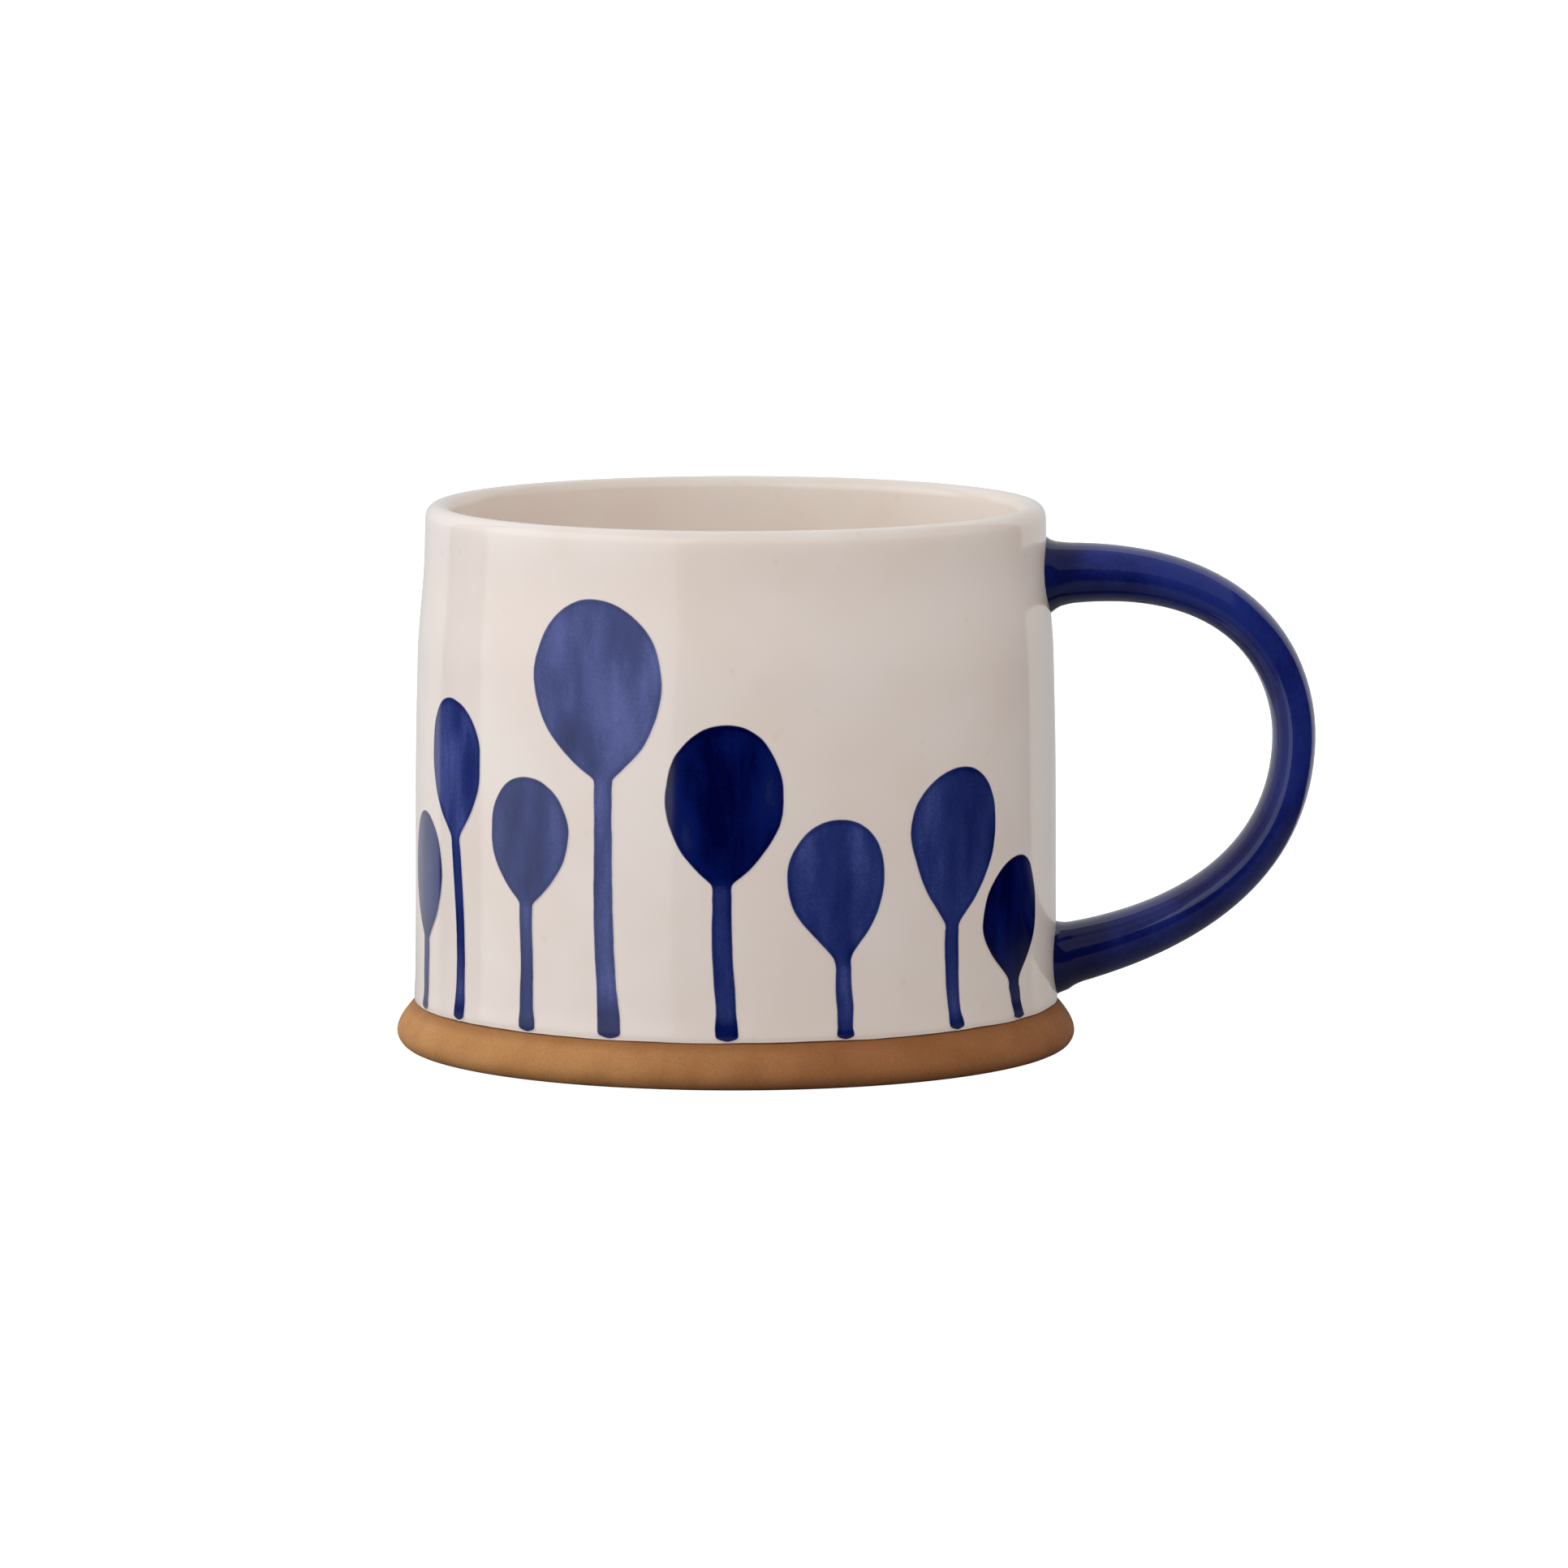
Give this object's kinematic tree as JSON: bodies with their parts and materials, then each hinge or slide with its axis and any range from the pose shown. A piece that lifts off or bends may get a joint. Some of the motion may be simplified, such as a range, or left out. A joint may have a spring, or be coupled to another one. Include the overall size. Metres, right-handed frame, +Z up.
{
  "type": "stoneware mug",
  "caption": "Wide low stoneware mug with a flared bare clay foot, a large loop handle and painted balloon flowers round its wall.",
  "frame": {"origin": "centre of the flat underside of the foot, on the mug's axis, at the table plane", "axes": "+Z up along the mug's axis; +X from the axis towards the handle; the painted front faces -Y"},
  "size_m": [0.1353, 0.1, 0.08],
  "materials": {
    "clay": "bare warm brown stoneware clay, matt and fine grained",
    "slip": "dried clay slip, matt",
    "cream_glaze": "warm off-white glaze, glossy",
    "cobalt_glaze": "deep cobalt blue glaze, glossy",
    "cobalt_paint": "brushed cobalt paint under a glossy glaze, streaked and pooled"
  },
  "bodies": {
    "root": {"foot": "clay", "base_slip_seam": "slip", "body_wall": "clay", "corner_coil": "clay", "outer_glaze": "cream_glaze", "inner_glaze": "cream_glaze", "handle": "clay", "upper_handle_slip": "slip", "lower_handle_slip": "slip", "handle_glaze": "cobalt_glaze", "flower_01": "cobalt_paint", "flower_02": "cobalt_paint", "flower_03": "cobalt_paint", "flower_04": "cobalt_paint", "flower_05": "cobalt_paint", "flower_06": "cobalt_paint", "flower_07": "cobalt_paint", "flower_08": "cobalt_paint", "flower_09": "cobalt_paint", "flower_10": "cobalt_paint", "flower_11": "cobalt_paint", "flower_12": "cobalt_paint", "flower_13": "cobalt_paint", "flower_14": "cobalt_paint", "flower_15": "cobalt_paint", "flower_16": "cobalt_paint"}
  },
  "joints": []
}
